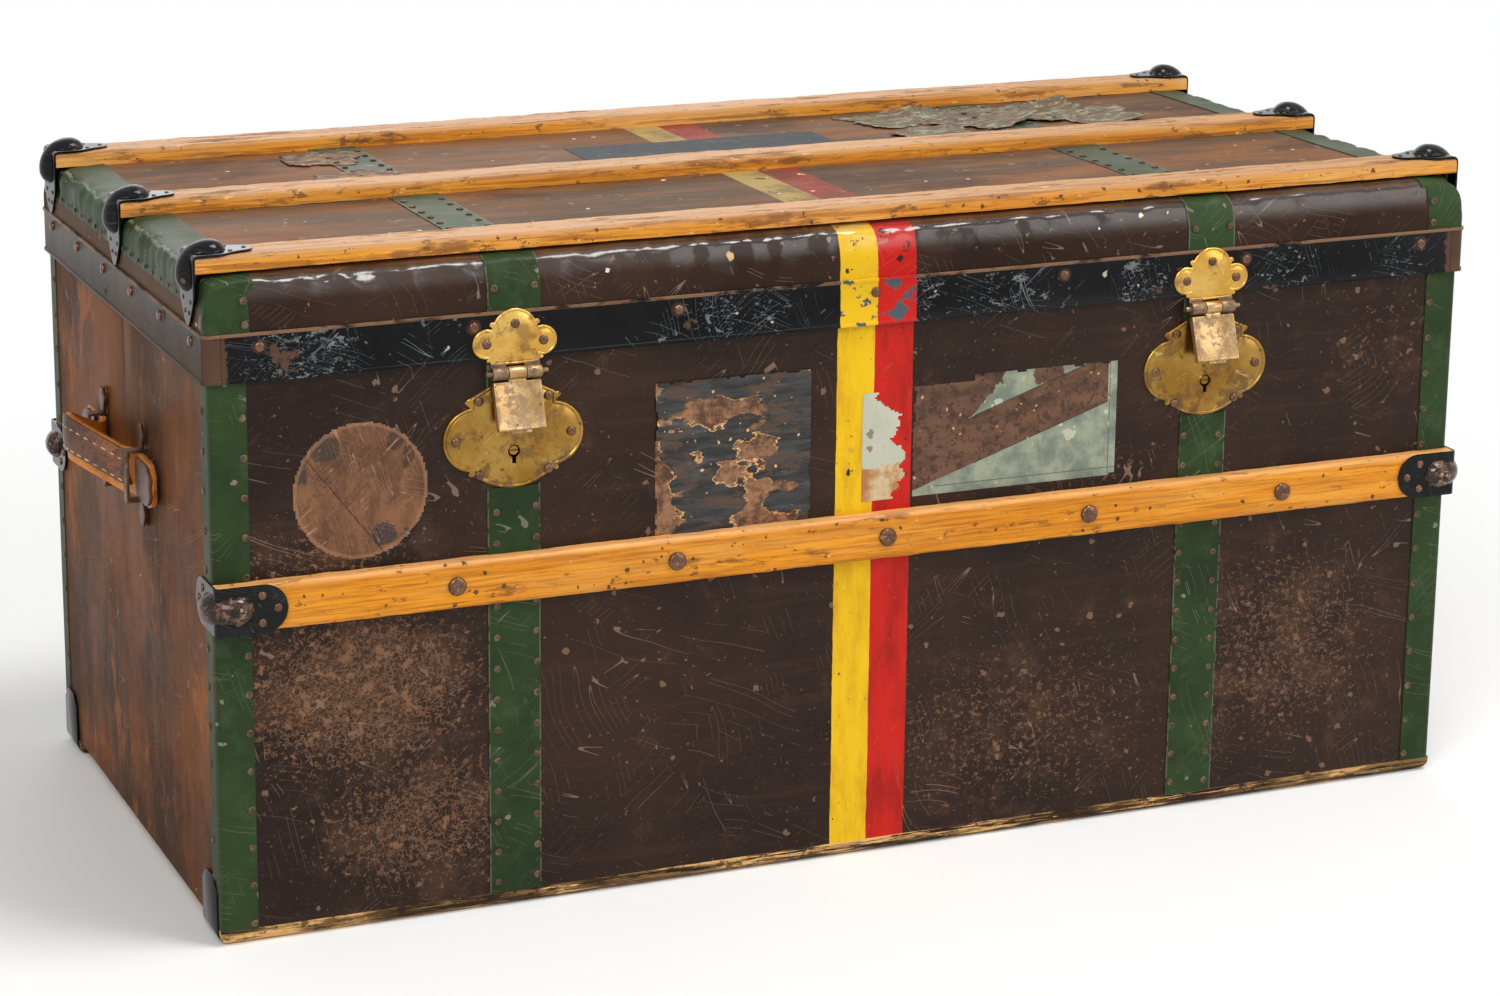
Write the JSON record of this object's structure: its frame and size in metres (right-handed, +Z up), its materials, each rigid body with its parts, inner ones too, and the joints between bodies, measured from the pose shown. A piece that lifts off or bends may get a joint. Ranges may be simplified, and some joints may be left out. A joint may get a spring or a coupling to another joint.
{
  "type": "cabin trunk",
  "caption": "Covered wooden travel trunk with a hinged lid, lift-out tray, bound edges, wooden slats with iron end clamps, hasp locks and end handles.",
  "frame": {"origin": "middle of the underside of the bottom slats, on the floor", "axes": "+X along the trunk to the right end, +Y from the locks to the hinges, +Z up"},
  "size_m": [1.162, 0.544, 0.5366],
  "materials": {
    "board": "sawn softwood",
    "covering": "painted canvas, worn",
    "lid_covering": "painted canvas, rubbed",
    "lining": "paper-backed cotton",
    "binding": "green vulcanised fibre, worn",
    "pine_slat": "varnished pine, worn",
    "side_slat": "varnished pine, honey-coloured",
    "bottom_slat": "dark worn wood",
    "black_iron": "black enamel, chipped",
    "bridge_iron": "dull iron",
    "valance": "black paint, chipped",
    "rivets": "dull brassed steel",
    "lock_brass": "tarnished",
    "lock_steel": "dull",
    "hinge_steel": "dull, rusty",
    "handle_leather": "worn harness leather",
    "tray_wood": "thin board, papered",
    "tab_leather": "soft strap leather"
  },
  "bodies": {
    "base": {"bottom_board": "board", "front_board": "board", "back_board": "board", "left_end_board": "board", "right_end_board": "board", "base_covering": "covering", "base_lining": "lining", "corner_bindings": "binding", "base_bands": "binding", "front_slat": "side_slat", "back_slat": "side_slat", "side_slat_clamps": "black_iron", "slat_rivets": "rivets", "bottom_slats": "bottom_slat", "bottom_clamps": "black_iron", "lock_plates": "lock_brass", "lock_cases": "lock_steel", "lock_rivets": "rivets", "left_handle_bridges": "bridge_iron", "right_handle_bridges": "bridge_iron", "tray_runners": "tray_wood", "hinge_base_leaves": "hinge_steel"},
    "lid": {"lid_covering": "lid_covering", "lid_lining": "lining", "lid_top_board": "board", "lid_front_board": "board", "lid_back_board": "board", "lid_left_board": "board", "lid_right_board": "board", "lid_left_binding": "binding", "lid_right_binding": "binding", "lid_bands": "binding", "lid_front_slat": "pine_slat", "lid_middle_slat": "pine_slat", "lid_back_slat": "pine_slat", "lid_slat_clamps": "black_iron", "front_valance": "valance", "back_valance": "valance", "left_valance": "valance", "right_valance": "valance", "valance_rivets": "rivets", "hasp_plates": "lock_brass", "hasp_pins": "lock_steel", "hasp_plate_nails": "rivets", "hinge_lid_leaves": "hinge_steel", "hinge_pins": "hinge_steel"},
    "left_hasp": {"left_hasp": "lock_brass"},
    "right_hasp": {"right_hasp": "lock_brass"},
    "left_bolt": {"left_lock_bolt": "lock_steel"},
    "right_bolt": {"right_lock_bolt": "lock_steel"},
    "left_handle": {"left_handle": "handle_leather"},
    "right_handle": {"right_handle": "handle_leather"},
    "tray": {"tray_bottom": "tray_wood", "tray_front_side": "tray_wood", "tray_back_side": "tray_wood", "tray_left_end": "tray_wood", "tray_right_end": "tray_wood", "tray_lift_tabs": "tab_leather"}
  },
  "joints": [
    {"name": "lid_hinge", "type": "hinge", "parent": "base", "child": "lid", "pos_m": [0, 0.256, 0.431], "axis": [-1, 0, 0], "range_deg": [0, 100]},
    {"name": "left_hasp_hinge", "type": "hinge", "parent": "lid", "child": "left_hasp", "pos_m": [-0.296, -0.258, 0.426], "axis": [-1, 0, 0], "range_deg": [-19, 120]},
    {"name": "right_hasp_hinge", "type": "hinge", "parent": "lid", "child": "right_hasp", "pos_m": [0.296, -0.258, 0.426], "axis": [-1, 0, 0], "range_deg": [-19, 120]},
    {"name": "left_bolt_slide", "type": "slide", "parent": "base", "child": "left_bolt", "axis": [-1, 0, 0], "range_m": [0, 0.009]},
    {"name": "right_bolt_slide", "type": "slide", "parent": "base", "child": "right_bolt", "axis": [-1, 0, 0], "range_m": [0, 0.009]},
    {"name": "left_handle_tilt", "type": "hinge", "parent": "base", "child": "left_handle", "pos_m": [-0.5375, 0, 0.32], "axis": [0, 1, 0], "range_deg": [0, 10]},
    {"name": "right_handle_tilt", "type": "hinge", "parent": "base", "child": "right_handle", "pos_m": [0.5375, 0, 0.32], "axis": [0, -1, 0], "range_deg": [0, 10]},
    {"name": "tray_lift", "type": "slide", "parent": "base", "child": "tray", "axis": [0, 0, 1], "range_m": [0, 0.04]}
  ]
}
